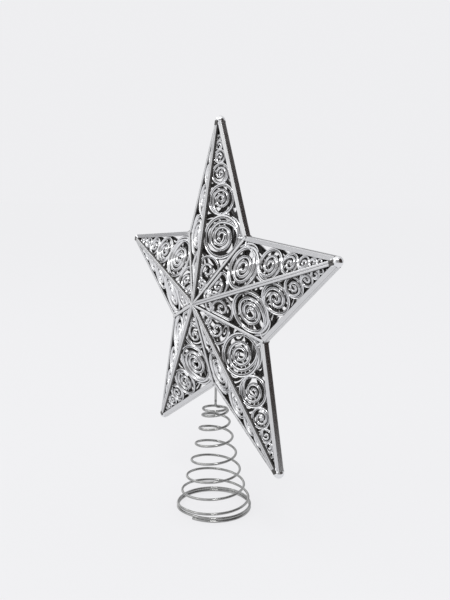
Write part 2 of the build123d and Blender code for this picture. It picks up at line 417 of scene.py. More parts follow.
@dataclass(frozen=True)
class SilverPlating:
    """Bright metal film on moulded plastic, with painted shade that darkens and roughens it in recesses and
    grooves.
    """

    silver: Colour = (0.92, 0.925, 0.94, 1.0)
    # painted shade: the near-black colour that the shade attribute mixes the silver towards
    painted_shade_colour: Colour = (0.055, 0.050, 0.045, 1.0)
    wave_scale: float = 260.0
    grain_scale: float = 1500.0
    darkest: float = 0.88
    lightest: float = 1.08
    polish: float = 0.12
    dullest: float = 0.23
    recess_dullness: float = 0.3
    bump_strength: float = 0.06
    bump_depth: float = 0.0002

    def material(self, coating: bpy.types.NodeTree) -> bpy.types.Material:
        """The plating as a material that paints shade where the mesh's shade attribute is high.

        Args:
            coating: the shared group of uneven metal.
        Returns:
            The material.
        """
        made, nodes = new_material("silver_plating")
        place = nodes.add("ShaderNodeTexCoord").outputs["Object"]
        uneven, height = nodes.uneven(coating, place, self.wave_scale, self.grain_scale)
        painted_shade = nodes.attribute("painted_shade", "Fac")
        tone = nodes.span(uneven, self.darkest, self.lightest)
        # painted shade: darker where the mesh's shade attribute is high, in recesses, grooves, flanks and
        # walls
        shaded_silver = nodes.mix(painted_shade, self.silver, self.painted_shade_colour)
        colour = nodes.add("ShaderNodeVectorMath", {"operation": "SCALE"}, i0=shaded_silver, Scale=tone).outputs[0]
        plain = nodes.span(uneven, self.polish, self.dullest)
        roughness = nodes.math("ADD", plain, nodes.math("MULTIPLY", painted_shade, self.recess_dullness))
        nodes.metal(colour, roughness, height, self.bump_strength, self.bump_depth)
        return made


@dataclass(frozen=True)
class DrawnSteel:
    """Spring wire with the fine lengthwise lines of its die."""

    steel: Colour = (0.50, 0.505, 0.50, 1.0)
    stain: Colour = (0.16, 0.155, 0.145, 1.0)
    line_stretch: float = 0.03
    wave_scale: float = 1.2
    grain_scale: float = 9.0
    blotch_scale: float = 0.16
    blotch_detail: float = 3.0
    polish: float = 0.08
    dullest: float = 0.19
    bump_strength: float = 0.16
    bump_depth: float = 0.00008

    def material(self, coating: bpy.types.NodeTree) -> bpy.types.Material:
        """The steel as a material that reads wire_place, the place on the wire laid straight, in millimetres.

        Args:
            coating: the shared group of uneven metal.
        Returns:
            The material.
        """
        made, nodes = new_material("drawn_steel")
        place = nodes.attribute("wire_place", "Vector")
        stretch = (1.0, 1.0, self.line_stretch)
        stretched = nodes.add("ShaderNodeMapping", Vector=place, Scale=stretch).outputs[0]
        lines, height = nodes.uneven(coating, stretched, self.wave_scale, self.grain_scale)
        blotch = nodes.noise(place, self.blotch_scale, self.blotch_detail)
        colour = nodes.mix(nodes.math("MULTIPLY", blotch, lines), self.steel, self.stain)
        roughness = nodes.span(lines, self.polish, self.dullest)
        nodes.metal(colour, roughness, height, self.bump_strength, self.bump_depth)
        return made


@dataclass(frozen=True)
class Scroll:
    """One scroll of a facet, in the facet's plane.

    leaves is the direction, in radians, in which its strand leaves the ring, and hand the way it then winds.
    """

    centre: np.ndarray
    radius: float
    turns: float
    leaves: float
    hand: int

    @property
    def form(self) -> StrandForm:
        """A scroll without turns is a bare ring."""
        return StrandForm.SPIRAL if self.turns else StrandForm.RING


def strand_band(first: float, last: float, height: float, steps: int) -> np.ndarray:
    """Rows of a strand's profile for one band, which rises as half a sine between its edges.

    Args:
        first: its left edge, in half widths.
        last: its right edge.
        height: its rise, in crest heights.
        steps: how many rows it takes.
    Returns:
        (steps, 5) array as in StarShell.strand_profile, open and without a groove.
    """
    share, none = np.linspace(0, 1, steps), np.zeros(steps)
    rise = height * np.sin(math.pi * share)
    return np.column_stack([first + (last - first) * share, rise, none, none, none])


@dataclass
class StarShell:
    """One half of the star: ten scroll facets between ribs, with a rim, blunt tips and half a boss."""

    side: ShellSide
    centre_z: float
    arm_count: int = 5
    tip_radius: float = 112.0
    notch_radius: float = 53.6
    arm_end_width: float = 6.0
    apex_height: float = 18.6
    edge_round: float = 0.32
    sharp_deg: float = 50.0

    # Rim: side wall and flange
    wall_depth: float = 1.6
    wall_thick: float = 1.2
    seam_groove: float = 0.04
    wall_shade: float = 0.2
    flange_width: float = 2.8
    flange_thick: float = 1.3
    flange_lip: float = 0.12
    plain_shade: float = 0.18
    rim_steps: int = 9

    # Ribs on ridges and in valleys
    ridge_border: float = 1.0
    valley_border: float = 0.9
    ridge_width: float = 3.0
    valley_width: float = 1.9
    rib_depth: float = 1.6
    rib_proud: float = 0.65
    ridge_groove: float = 0.42
    valley_groove: float = 0.0
    rib_groove_shade: float = 0.9
    ridge_dark_end: float = 3.2
    valley_dark_end: float = 0.8
    dark_ease: float = 0.4
    rib_start_widths: float = 4.0
    rib_start_steps: int = 6
    rib_steps: int = 9

    # Section of a strand
    strand_sunk: float = 0.6
    strand_depth: float = 0.9
    strand_draft: float = 0.34
    flank_drop_share: float = 0.2
    flank_depth_share: float = 0.5
    flank_shade: float = 0.52
    inner_shade: float = 0.94
    crest_height: float = 0.5
    crest_share: float = 0.42
    line_height: float = 0.55
    band_steps: int = 5
    line_steps: int = 3
    groove_span: tuple[float, float] = (0.02, 0.55)
    groove_depth: float = 0.6
    groove_shade: float = 0.92
    groove_ease: float = 0.14
    groove_least: float = 0.35
    groove_fade: float = 0.4

    # Layout of the scrolls and of what joins them
    large_share: float = 0.95
    tip_turns: tuple[float, ...] = (2.75, 2.1, 1.65, 1.25, 0.8, 0.0)
    apex_turns: tuple[float, float] = (1.45, 0.8)
    loop_shift: float = 0.9
    overlap: float = 0.25
    ring_least_width: float = 0.8
    ring_width_share: float = 0.095
    strand_width_share: float = 0.78
    gap_share: float = 0.1
    leave_turns: float = 0.22
    bulb_share: float = 1.3
    eye_share: float = 0.11
    web_deg: float = 42.0
    spur_count: int = 3
    spur_half_share: float = 0.35
    spur_lean: float = 0.35
    spur_taper: float = 6.0
    spur_reach: float = 0.62
    notch_bar_share: float = 0.9
    notch_bar_taper: float = 12.0
    least_steps: int = 14
    steps_per_root_mm: float = 4.4
    spiral_density: int = 2
    spiral_ease: float = 0.85

    # Tip beads and boss
    bead_radius: float = 3.1
    bead_length: float = 6.0
    collar_swell_share: float = 0.14
    collar_height_share: float = 0.16
    collar_steps: int = 9
    nose_width_share: float = 0.98
    nose_height_share: float = 0.48
    nose_from_deg: float = -28.0
    nose_steps: int = 14
    bead_crease_shade: float = 0.7
    boss_radius: float = 1.7
    bore_radius: float = 0.85
    boss_drop: float = 1.4
    boss_length: float = 14.25
    half_steps: int = 16

    def __post_init__(self) -> None:
        """Works out the corners and directions of the facet on the left of the arm that points up."""
        half = math.pi / self.arm_count
        self.apex = np.array([0.0, -self.apex_height, 0.0])
        notch_x = -self.notch_radius * math.sin(half)
        self.notch = np.array([notch_x, -self.wall_depth, self.notch_radius * math.cos(half)])
        self.arm_end = np.array([-self.arm_end_width / 2, -self.wall_depth, self.tip_radius])
        self.outwards = unit(np.cross(self.arm_end - self.apex, self.notch - self.apex))
        self.ridge = unit(np.cross(self.outwards, ACROSS))
        self.over = np.cross(self.outwards, self.ridge)
        self.axes = np.stack([self.ridge, self.over, self.outwards])
        self.fit_circle()

    def fit_circle(self) -> None:
        """Finds the circle that touches the facet's three borders and the two ends it can shrink to.

        A circle at distances d from the three sides has its centre at the mean of the corners weighted by
        side times d. Scaled about the corner of two borders it keeps touching both of them.
        """
        notch, end = self.in_facet(self.notch), self.in_facet(self.arm_end)
        tip = end + (end - notch) * (end[1] / (notch[1] - end[1]))
        corners = np.stack([np.zeros(2), notch, tip])
        sides = np.linalg.norm([tip - notch, tip, notch], axis=1)
        borders = np.array([self.flange_width, self.ridge_border, self.valley_border])
        area = abs(tip[0] * notch[1] - tip[1] * notch[0])
        flange, ridge, valley = taken = sides * borders
        self.fit_radius = (area - taken.sum()) / sides.sum()
        self.fit_centre = (taken + sides * self.fit_radius) @ corners / area
        self.tip_corner = np.array([flange, ridge, area - flange - ridge]) @ corners / area
        self.apex_corner = np.array([area - ridge - valley, ridge, valley]) @ corners / area

    def in_facet(self, point: np.ndarray) -> np.ndarray:
        """A star point's place along the ridge and away from it."""
        return ((point - self.apex) @ self.axes.T)[:2]

    def ring_width(self, radius: float) -> float:
        """Width of the outer ring of a scroll of this radius."""
        return self.ring_least_width + self.ring_width_share * radius

    def large(self) -> tuple[np.ndarray, float]:
        """Centre and radius of the largest scroll, which touches ridge and valley."""
        centre = self.apex_corner + (self.fit_centre - self.apex_corner) * self.large_share
        return centre, self.fit_radius * self.large_share

    def beside_large(self, corner: np.ndarray) -> tuple[float, float]:
        """How far the fitted circle shrinks about a corner until it touches the largest scroll from there.

        Its centre is then one sum of radii from the largest's, which makes a quadratic in the scale.

        Args:
            corner: the corner, in the facet's plane.
        Returns:
            The scale, and the ratio by which each further circle of the chain is smaller.
        """
        away, radius = self.fit_centre - corner, self.fit_radius
        large_centre, large_radius = self.large()
        apart = corner - large_centre
        square = away @ away - radius**2
        half_line = apart @ away - large_radius * radius
        rest = apart @ apart - large_radius**2
        scale = (-half_line - math.sqrt(half_line**2 - square * rest)) / square
        length = np.linalg.norm(away)
        return scale, (length - radius) / (length + radius)

    def scrolls(self) -> list[Scroll]:
        """The largest scroll, then scrolls that shrink towards the tip, each touching the one before.

        Returns:
            The scrolls, from the largest to the smallest.
        """
        centre, radius = self.large()
        notch_way = self.in_facet(self.notch) - centre
        leaves = math.atan2(notch_way[1], notch_way[0])
        found = [Scroll(centre, radius, self.tip_turns[0], leaves, -1)]
        away = self.fit_centre - self.tip_corner
        back = math.atan2(away[1], away[0])
        scale, ratio = self.beside_large(self.tip_corner)
        for rank, turns in enumerate(self.tip_turns[1:]):
            shrink = scale * ratio**rank
            place = self.tip_corner + away * shrink
            found.append(Scroll(place, self.fit_radius * shrink, turns, back, -1 if rank % 2 else 1))
        return found

    def strand_profile(self) -> np.ndarray:
        """A strand's profile: a flank, a broad band, a groove, a thin line and the other flank.

        Returns:
            (columns, 5) array: across in half widths, up in crest heights, then the shares of depth, shade
            and groove.
        """
        left, right = self.groove_span
        ease = self.groove_ease * (right - left)
        edge = np.array([1, -self.flank_drop_share, self.flank_depth_share, self.flank_shade, 0])
        low = np.array([1, -self.flank_drop_share, 1, self.inner_shade, 0])
        mirrored = np.array([-1, 1, 1, 1, 1])
        stretches = [
            [low * mirrored, edge * mirrored],
            strand_band(-1, left, 1, self.band_steps),
            [(place, -self.groove_depth, 0, 0, 1) for place in (left + ease, right - ease)],
            strand_band(right, 1, self.line_height, self.line_steps),
            [edge, low],
        ]
        return np.concatenate(stretches)

    def strand_section(self, half: np.ndarray) -> np.ndarray:
        """A strand's profile at each half width, sunk below the facet's plane.

        Args:
            half: (rows,) half widths.
        Returns:
            (rows, columns, 2) points, across and up from the facet's plane.
        """
        across, up, deep, _, _ = self.strand_profile().T
        wide = half[:, None]
        rise = np.minimum(self.crest_height, self.crest_share * wide)
        spread = np.minimum(self.strand_draft, wide) * deep * np.sign(across)
        level = rise * (up - 1) - deep * self.strand_depth - self.strand_sunk
        return np.stack([wide * across + spread, level], axis=-1)

    def strand(
        self, route: np.ndarray, half: np.ndarray | float, closed: bool = False, flip: int = 1
    ) -> Patch:
        """A strand along a line in the facet's plane, in facet coordinates.

        Args:
            route: (rows, 2) points.
            half: its half width, or (rows,) half widths, 0 at a pointed end.
            closed: whether the line is a ring.
            flip: 1 to lay the thin line on the right of the heading, -1 on the left.
        Returns:
            The strand's surface.
        """
        ahead = np.gradient(route, axis=0)
        if closed:
            ahead = np.roll(route, -1, axis=0) - np.roll(route, 1, axis=0)
        heading = unit(ahead)
        half = np.broadcast_to(half, len(route))
        level = np.zeros(len(route))
        path = np.column_stack([route, level])
        across = flip * np.column_stack([heading[:, 1], -heading[:, 0], level])
        points = carried(path, across, UP, self.strand_section(half))
        shade, grooved = self.strand_profile().T[3:]
        wide = smooth_step((half - self.groove_least) / self.groove_fade)[:, None]
        return grid_patch(points, shade + self.groove_shade * grooved * wide, ring_rows=closed)

    def steps(self, length: float) -> int:
        """How many steps a line of this length takes."""
        return max(self.least_steps, round(math.sqrt(length) * self.steps_per_root_mm))

    def circle(self, centre: np.ndarray, radius: float) -> np.ndarray:
        """The points of a circle in the facet's plane."""
        angle = np.linspace(0, math.tau, self.steps(math.tau * radius), endpoint=False)
        return centre + radius * directions(angle)

    def scroll_ring(self, scroll: Scroll) -> Patch:
        """The outer ring of a scroll: a circle that grows a little into its neighbours.

        Args:
            scroll: the scroll that it bounds.
        Returns:
            The strand's surface.
        """
        half = self.ring_width(scroll.radius) / 2
        route = self.circle(scroll.centre, scroll.radius + self.overlap - half)
        return self.strand(route, half, closed=True, flip=-1)

    def spiral(self, scroll: Scroll) -> Patch:
        """A strand that leaves the ring, winds in evenly with its angle and ends in a round bulb.

        Its half width rises from 0 inside the ring, and over the last two bulb radii it is that of a circle.

        Args:
            scroll: the scroll that it fills.
        Returns:
            The strand's surface.
        """
        ring = self.ring_width(scroll.radius)
        half = self.strand_width_share * ring / 2
        start, eye = scroll.radius + self.overlap - ring / 2, scroll.radius * self.eye_share
        first = scroll.radius + self.overlap - ring - scroll.radius * self.gap_share - half
        length = math.pi * scroll.turns * (start + eye)
        share = np.linspace(0, 1, self.steps(length) * self.spiral_density)
        turn = scroll.turns * share**self.spiral_ease
        angle = scroll.leaves + scroll.hand * math.tau * turn
        wound = np.clip((turn - self.leave_turns) / (scroll.turns - self.leave_turns), 0, 1)
        reach = start + (first - start) * smooth_step(turn / self.leave_turns) - (first - eye) * wound
        route = scroll.centre + reach[:, None] * directions(angle)
        run = run_along(route)
        to_end = run[-1] - run
        bulb = half * self.bulb_share
        round_end = np.sqrt(np.maximum(bulb**2 - (to_end - bulb) ** 2, 0.0))
        width = np.where(to_end > bulb, np.maximum(half, round_end), round_end)
        return self.strand(route, width * smooth_step(run / ring), flip=scroll.hand)

    def apex_loops(self) -> list[Patch]:
        """The scrolls in the facet's corner at the apex: a loop that leans on both ribs, and a small ring.

        The loop is a circle about a point drawn towards the apex, that still touches the largest scroll.
        Where it would cross a rib it runs along the rib's border instead.

        Returns:
            The strands.
        """
        away = self.fit_centre - self.apex_corner
        scale, ratio = self.beside_large(self.apex_corner)
        back = math.atan2(-away[1], -away[0])
        radius, near = self.fit_radius * scale, scale * self.loop_shift
        centre = self.apex_corner + away * near
        half = self.ring_width(radius) / 2
        reach = radius + np.linalg.norm(away) * scale * (1 - self.loop_shift) + self.overlap - half
        route = self.circle(centre, reach)
        route[:, 1] = np.maximum(route[:, 1], self.ridge_border + half)
        notch = unit(self.in_facet(self.notch))
        from_valley = np.array([notch[1], -notch[0]])
        short = np.maximum(self.valley_border + half - route @ from_valley, 0.0)
        loop = self.strand(route + short[:, None] * from_valley, half, closed=True, flip=-1)
        curl_turns, small_turns = self.apex_turns
        curl = Scroll(centre, radius * self.loop_shift + half, curl_turns, back, 1)
        small_centre = self.apex_corner + away * near * ratio
        small = Scroll(small_centre, self.fit_radius * near * ratio, small_turns, back, -1)
        return [loop, self.spiral(curl), self.scroll_ring(small), self.spiral(small)]

    def web(self, scroll: Scroll) -> Patch:
        """A crescent that joins the largest ring to the flange, as wide as a cosine and pointed at both ends.

        Args:
            scroll: the largest scroll.
        Returns:
            The strand's surface.
        """
        notch, end = self.in_facet(self.notch), self.in_facet(self.arm_end)
        along = unit(end - notch)
        out = np.array([-along[1], along[0]])
        gap = (notch - scroll.centre) @ out - self.flange_width - scroll.radius
        turn = np.linspace(-1, 1, self.steps(2 * scroll.radius))
        angle = math.atan2(out[1], out[0]) + math.radians(self.web_deg) * turn
        route = scroll.centre + (scroll.radius + gap / 2) * directions(angle)
        return self.strand(route, (gap / 2 + self.overlap) * np.cos(turn * math.pi / 2), flip=-1)

    def spurs(self, scrolls: list[Scroll]) -> list[Patch]:
        """Thin bars between neighbouring scrolls, from where they touch out into the gap on each side.

        Args:
            scrolls: the chain of scrolls.
        Returns:
            The strands.
        """
        made = []
        share = np.linspace(0, 1, self.least_steps)
        half = self.ring_least_width * self.spur_half_share * smooth_step((1 - share) * self.spur_taper)
        for one, two in zip(scrolls[: self.spur_count], scrolls[1:]):
            way = two.centre - one.centre
            touch = one.centre + way * (one.radius / np.linalg.norm(way))
            reach = two.radius * self.spur_reach * share[:, None]
            for side in (1, -1):
                out = unit(side * np.array([-way[1], way[0]]) + self.spur_lean * way)
                made.append(self.strand(touch + out * reach, half))
        return made

    def notch_bar(self, scroll: Scroll) -> Patch:
        """A web from the largest ring into the corner of the notch, wider towards the corner.

        Args:
            scroll: the largest scroll.
        Returns:
            The strand's surface.
        """
        notch = self.in_facet(self.notch)
        way = unit(notch - scroll.centre)
        half = self.ring_width(scroll.radius) / 2
        start = scroll.centre + way * (scroll.radius - half)
        share = np.linspace(0, 1, self.least_steps)
        route = start + (notch - way * self.flange_width - start) * share[:, None]
        taper = smooth_step(np.minimum(share, 1 - share) * self.notch_bar_taper)
        return self.strand(route, half * self.notch_bar_share * (1 + share) * taper)

    def rim(self) -> Patch:
        """Flange and side wall of one facet: an L-shaped profile along the edge from notch to arm's end.

        The flange lies in the facet, the wall drops to the seam, and the profile is cut on the mirror plane
        of the notch and square at the arm's end.

        Returns:
            The surface in star coordinates, open at the notch, where the next arm's rim goes on.
        """
        along = unit(self.arm_end - self.notch)
        inwards = np.cross(along, self.outwards)
        inwards = inwards * np.sign(inwards @ (self.apex - self.notch))
        out = np.cross(along, TO_BACK)
        out = out * np.sign(out @ self.notch)
        width, thick, lip, edge = self.flange_width, self.flange_thick, self.flange_lip, self.edge_round
        depth, groove, inside = self.wall_depth, self.seam_groove, -self.wall_thick
        plain, wall = self.plain_shade, self.wall_shade
        # Each row: into the facet, off the facet, out of the outline, towards the seam, shade
        profile = np.array(
            [
                (width, 0, 0, thick, 1.0),
                (width, -edge, 0, 0, 0.5),
                (width - edge * 0.3, -edge * 0.3, 0, 0, plain),
                (width - edge, 0, 0, 0, plain),
                (width - edge * 1.3, 0, 0, 0, plain),
                (edge * 3.9, 0, 0, 0, plain),
                (edge * 3.6, 0, 0, 0, 0.3),
                (edge * 3.2, lip, 0, 0, plain),
                (edge * 2.9, lip, 0, 0, plain),
                (edge * 1.1, lip, 0, 0, plain),
                (edge * 0.8, lip, 0, 0, plain),
                (edge * 0.2, lip * 0.3, 0, 0, 0.6),
                (0, 0, 0, edge * 0.4, wall),
                (0, 0, 0, edge, wall),
                (0, 0, 0, depth - groove, wall),
                (0, 0, -groove, depth - groove, 1.0),
                (0, 0, -groove, depth, 1.0),
                (0, 0, inside, depth, 1.0),
                (0, 0, inside, thick, 1.0),
            ]
        )
        section = profile[:, :4] @ np.stack([inwards, self.outwards, out, TO_BACK])
        mitre = np.cross(TO_BACK, self.notch)
        at_notch = self.notch + section
        at_notch = at_notch - along * ((at_notch @ mitre) / (along @ mitre))[:, None]
        at_end = self.arm_end + section
        at_end = at_end + along * ((self.tip_radius - at_end[:, 2]) / along[2])[:, None]
        share = np.linspace(0, 1, self.rim_steps)[:, None, None]
        points = at_notch + (at_end - at_notch) * share
        return grid_patch(capped(points)[1:], profile[:, 4])

    def rib(
        self, direction: np.ndarray, length: float, width: float, groove: float, dark_end: float
    ) -> Patch:
        """A rounded bar, with or without a groove along its middle, from the apex along a ridge or valley.

        Near the apex its width is that of its share of the full turn, so that ribs meet without crossing.

        Args:
            direction: unit vector of the rib.
            length: its length.
            width: its full width.
            groove: depth of its groove, or 0.
            dark_end: length of the stretch at its outer end that is painted dark, a painted shade at the
                rib's end.
        Returns:
            The surface in star coordinates.
        """
        deep, proud, plain = -self.rib_depth, self.rib_proud, self.plain_shade
        # Each row: across in half widths, height, shade
        left = np.array(
            [
                (-1.0, deep, 1.0),
                (-1.0, deep * 0.6, 0.95),
                (-0.96, proud * 0.2, 0.8),
                (-0.84, proud * 0.75, plain),
                (-0.5, proud, plain),
                (-0.14, proud - groove * 0.4, plain),
            ]
        )
        middle = (0.0, proud - groove, self.rib_groove_shade if groove else plain)
        profile = np.concatenate([left, [middle], left[::-1] * [-1, 1, 1]])
        sideways = unit(np.cross(direction, TO_BACK))
        upright = np.cross(direction, sideways)
        start, shaded_from = self.rib_start_widths * width, length - dark_end
        stretches = [
            np.linspace(0, start, self.rib_start_steps)[:-1],
            np.linspace(start, shaded_from, self.rib_steps),
            [shaded_from + self.dark_ease, length],
        ]
        run = np.concatenate(stretches)
        # painted shade: the rib darkens over its last stretch, towards its outer end
        darkened = self.rib_groove_shade * smooth_step((run - shaded_from) / self.dark_ease)
        shade = np.maximum(profile[:, 2], darkened[:, None])
        spread = np.minimum(width / 2, run * math.tan(math.pi / self.arm_count / 2))
        section = profile[:, :2] * np.column_stack([spread, np.ones(len(run))])[:, None, :]
        points = carried(self.apex + run[:, None] * direction, sideways, upright, section)
        return grid_patch(capped(points), ends_twice(shade))

    def half_turned(self, profile: np.ndarray, low: float) -> Patch:
        """Half of a turned form about the Z axis, on the -Y side, closed flat on the seam.

        Args:
            profile: (columns, 3) closed outline: radius, height and shade.
            low: height of the outline's foot.
        Returns:
            The surface in star coordinates.
        """
        angle = np.linspace(math.pi, math.tau, self.half_steps)[:, None]
        radius, height, shade = profile.T
        level = np.broadcast_to(height + low, (self.half_steps, len(profile)))
        points = np.stack([radius * np.cos(angle), radius * np.sin(angle), level], axis=-1)
        return grid_patch(capped(points), shade)

    def bead(self) -> Patch:
        """Half of the blunt end of an arm: a collar of half a round, then a nose of a stretch of an ellipse.

        Returns:
            The surface in star coordinates.
        """
        bulge = np.linspace(-math.pi / 2, math.pi / 2, self.collar_steps)
        rise = np.radians(np.linspace(self.nose_from_deg, 90, self.nose_steps))
        swell, level, tall = self.collar_swell_share, self.collar_height_share, self.nose_height_share
        collar = np.column_stack([1 - swell + swell * np.cos(bulge), level + level * np.sin(bulge)])
        nose = np.column_stack([self.nose_width_share * np.cos(rise), 1 - tall + tall * np.sin(rise)])
        outline = np.concatenate([[(0, 0)], collar, nose]) * [self.bead_radius, self.bead_length]
        shade = np.zeros(len(outline))
        crease = len(collar)
        shade[crease : crease + 2] = self.bead_crease_shade
        return self.half_turned(np.column_stack([outline, shade]), self.tip_radius - self.bead_length / 2)

    def boss(self) -> Patch:
        """Half of the tube in the bottom notch that grips the stem, with a rounded mouth.

        Returns:
            The surface in star coordinates.
        """
        outer, bore, edge, length = self.boss_radius, self.bore_radius, self.edge_round, self.boss_length
        # Each row: radius, height, shade
        profile = np.array(
            [
                (bore, length, 1.0),
                (bore, edge, 1.0),
                (bore + edge * 0.3, edge * 0.2, 0.5),
                (bore + edge, 0, 0),
                (outer - edge, 0, 0),
                (outer - edge * 0.3, edge * 0.3, 0),
                (outer, edge, 0),
                (outer, edge * 4, 0),
                (outer - edge * 0.4, edge * 4.6, 0.3),
                (outer - edge * 0.4, length, 0.3),
            ]
        )
        return self.half_turned(profile, -self.notch_radius - self.boss_drop)

    def surface(self) -> Patch:
        """The whole half: one facet, mirrored for the other side of its arm, turned for each arm.

        Returns:
            The surface in the shared frame.
        """
        scrolls = self.scrolls()
        strands = [self.scroll_ring(scroll) for scroll in scrolls] + [self.notch_bar(scrolls[0])]
        strands += [self.spiral(scroll) for scroll in scrolls if scroll.form is StrandForm.SPIRAL]
        strands += self.apex_loops() + self.spurs(scrolls) + [self.web(scrolls[0])]
        facet = joined([joined(strands).mapped(self.axes.T, self.apex), self.rim()])
        mirrored = facet.mapped(np.diag([-1.0, 1.0, 1.0]))
        length = self.tip_radius / self.ridge[2]
        ridge = self.rib(self.ridge, length, self.ridge_width, self.ridge_groove, self.ridge_dark_end)
        way = self.notch - self.apex
        length = float(np.linalg.norm(way))
        valley = self.rib(way / length, length, self.valley_width, self.valley_groove, self.valley_dark_end)
        arm = joined([facet, mirrored, ridge, valley, self.bead()])
        turns = np.arange(self.arm_count) * math.tau / self.arm_count
        arms = [arm.mapped(np.array(Matrix.Rotation(turn, 3, "Y"))) for turn in turns]
        whole = joined(arms + [self.boss()])
        return whole.mapped(np.diag([1.0, float(self.side.value), 1.0]), self.centre_z * UP)

    def build(self, material: bpy.types.Material, name: str, node: str) -> bpy.types.Object:
        """Makes the shell, which rides with the star in place of its plain solid.

        Args:
            material: its finish.
            name: the piece's name.
            node: the solid that it stands for.
        Returns:
            The shell.
        """
        made = make_object(name, self.surface(), material, self.sharp_deg)
        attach(made, "star")
        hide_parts(node)
        return made


@dataclass(kw_only=True)
class RoundWire:
    """What the spring and the stem share: a round wire with eased ends."""

    wire_radius: float = 0.8
    wire_sides: int = 16
    end_ease_share: float = 0.2
    least_lean: float = 1e-6
    sharp_deg: float = 60.0

    def wire(self, name: str, route: np.ndarray, material: bpy.types.Material) -> bpy.types.Object:
        """The wire along a line: a circle carried along it, square to its heading.

        Its wire_place attribute holds each point's place on the same wire laid straight along Z.

        Args:
            name: the piece's name.
            route: (rows, 3) points of the wire's middle.
            material: its finish.
        Returns:
            The object.
        """
        heading = unit(np.gradient(route, axis=0))
        sideways = np.cross(heading, UP)
        leans = np.linalg.norm(sideways, axis=1) >= self.least_lean
        sideways[~leans] = sideways[leans][0] if leans.any() else ACROSS
        sideways = unit(sideways)
        upright = np.cross(sideways, heading)
        angle = np.linspace(0, math.tau, self.wire_sides, endpoint=False)
        circle = self.wire_radius * directions(angle)
        ease = self.wire_radius * self.end_ease_share
        after_start = route[:1] + heading[:1] * ease
        before_end = route[-1:] - heading[-1:] * ease
        path = np.concatenate([route[:1], after_start, route[1:-1], before_end, route[-1:]])
        scale = np.ones(len(path))
        scale[[0, -1]] = 1 - self.end_ease_share
        section = scale[:, None, None] * circle
        points = capped(carried(path, ends_twice(sideways), ends_twice(upright), section))
        patch = grid_patch(points, np.zeros(self.wire_sides))
        made = make_object(name, patch, material, self.sharp_deg)
        run = ends_twice(run_along(path))
        straight = carried(run[:, None] * UP, ACROSS, TO_BACK, circle).reshape(-1, 3)
        first, _ = patch.merged()
        place = made.data.attributes.new("wire_place", "FLOAT_VECTOR", "POINT")
        place.data.foreach_set("vector", straight[first].astype(np.float32).ravel())
        return made


@dataclass
class ConeSpring(RoundWire):
    """The conical spring of one wire: a bend from the stem, a closed neck, an open cone and a closed base."""

    top_z: float
    neck_radius: float = 8.0
    base_radius: float = 23.7
    neck_height: float = 67.7
    neck_turns: float = 1.0
    open_turns: float = 6.25
    base_turns: float = 2.0
    closed_pitch: float = 2.2
    bend_radius: float = 2.4
    flare_power: float = 1.3
    steep_share: float = 0.3
    base_ramp_share: float = 0.2
    neck_start_deg: float = 21.5
    floor_wire_z: float = 0.406
    steps_per_turn: int = 64
    bend_steps: int = 14
    lead_steps: int = 4

    @property
    def open_low(self) -> float:
        """Height at which the cone runs into the base."""
        return self.floor_wire_z + self.closed_pitch * self.base_turns

    @property
    def open_high(self) -> float:
        """Height at which the neck runs into the cone."""
        return self.neck_height - self.closed_pitch * self.neck_turns

    def coil(self) -> np.ndarray:
        """The wire's middle from the neck to its end in the base, turning clockwise as it goes down.

        In the neck it falls by one pitch a turn at one radius. In the cone the radius grows with a power of
        the share of the way down and the height follows a line eased at its ends. In the base each turn steps
        down by one pitch early on. The lowest turn rests on the table.

        Returns:
            (rows, 3) points.
        """
        turns = self.neck_turns + self.open_turns + self.base_turns
        turn = np.linspace(0, turns, round(turns * self.steps_per_turn) + 1)
        angle = math.radians(self.neck_start_deg) - math.tau * turn
        opened = np.clip((turn - self.neck_turns) / self.open_turns, 0, 1)
        based = np.clip(turn - self.neck_turns - self.open_turns, 0, self.base_turns)
        reach = self.neck_radius + (self.base_radius - self.neck_radius) * opened**self.flare_power
        level = np.minimum(np.floor(based), self.base_turns - 1)
        stepped = level + smooth_step((based - level) / self.base_ramp_share)
        fall = (1 - self.steep_share) * opened + self.steep_share * smooth_step(opened)
        height = self.open_high - (self.open_high - self.open_low) * fall
        height = height + self.closed_pitch * np.clip(self.neck_turns - turn, 0, None)
        height = height - self.closed_pitch * np.where(based > 0, stepped, 0.0)
        height = np.maximum(height, self.wire_radius)
        return np.column_stack([reach[:, None] * directions(angle), height])

    def lead(self) -> np.ndarray:
        """The wire's middle from the stem to the neck: straight down, a quarter bend, and an arc to the neck.

        The arc leaves the bend along a radius and meets the neck's circle from inside.

        Returns:
            (rows, 3) points, without the coil's first.
        """
        neck, bend = self.neck_radius, self.bend_radius
        arc = (neck**2 - bend**2) / (2 * neck)
        start = math.radians(self.neck_start_deg)
        crossing = start + math.atan2(arc, bend)
        outwards = np.array([math.cos(crossing), math.sin(crossing), 0.0])
        straight = np.linspace(self.top_z, self.neck_height + bend, self.lead_steps)[:-1, None] * UP
        turn = np.linspace(0, math.pi / 2, self.bend_steps)[:-1, None]
        corner = outwards * bend * (1 - np.cos(turn)) + UP * (self.neck_height + bend * (1 - np.sin(turn)))
        sweep = np.linspace(crossing + math.pi / 2, start, 2 * self.bend_steps)[:-1]
        middle = (neck - arc) * np.array([math.cos(start), math.sin(start)])
        level = np.full(len(sweep), self.neck_height)
        across = np.column_stack([middle + arc * directions(sweep), level])
        return np.concatenate([straight, corner, across])

    def build(self, material: bpy.types.Material) -> bpy.types.Object:
        """Makes the spring, whose wire runs from the foot of the stem down to its base.

        Args:
            material: its finish.
        Returns:
            The spring.
        """
        made = self.wire("coil_spring_wire", np.concatenate([self.lead(), self.coil()]), material)
        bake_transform(made)
        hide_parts("coil_spring")
        return made


@dataclass
class Stem(RoundWire):
    """The straight end of the spring wire, up into the boss."""

    low_z: float
    high_z: float
    stations: int = 12

    def build(self, material: bpy.types.Material) -> bpy.types.Object:
        """Makes the stem, which rides on its own body.

        Args:
            material: its finish.
        Returns:
            The stem.
        """
        route = np.linspace(self.high_z, self.low_z, self.stations)[:, None] * UP
        made = self.wire("stem_wire", route, material)
        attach(made, "stem")
        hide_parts("stem")
        return made


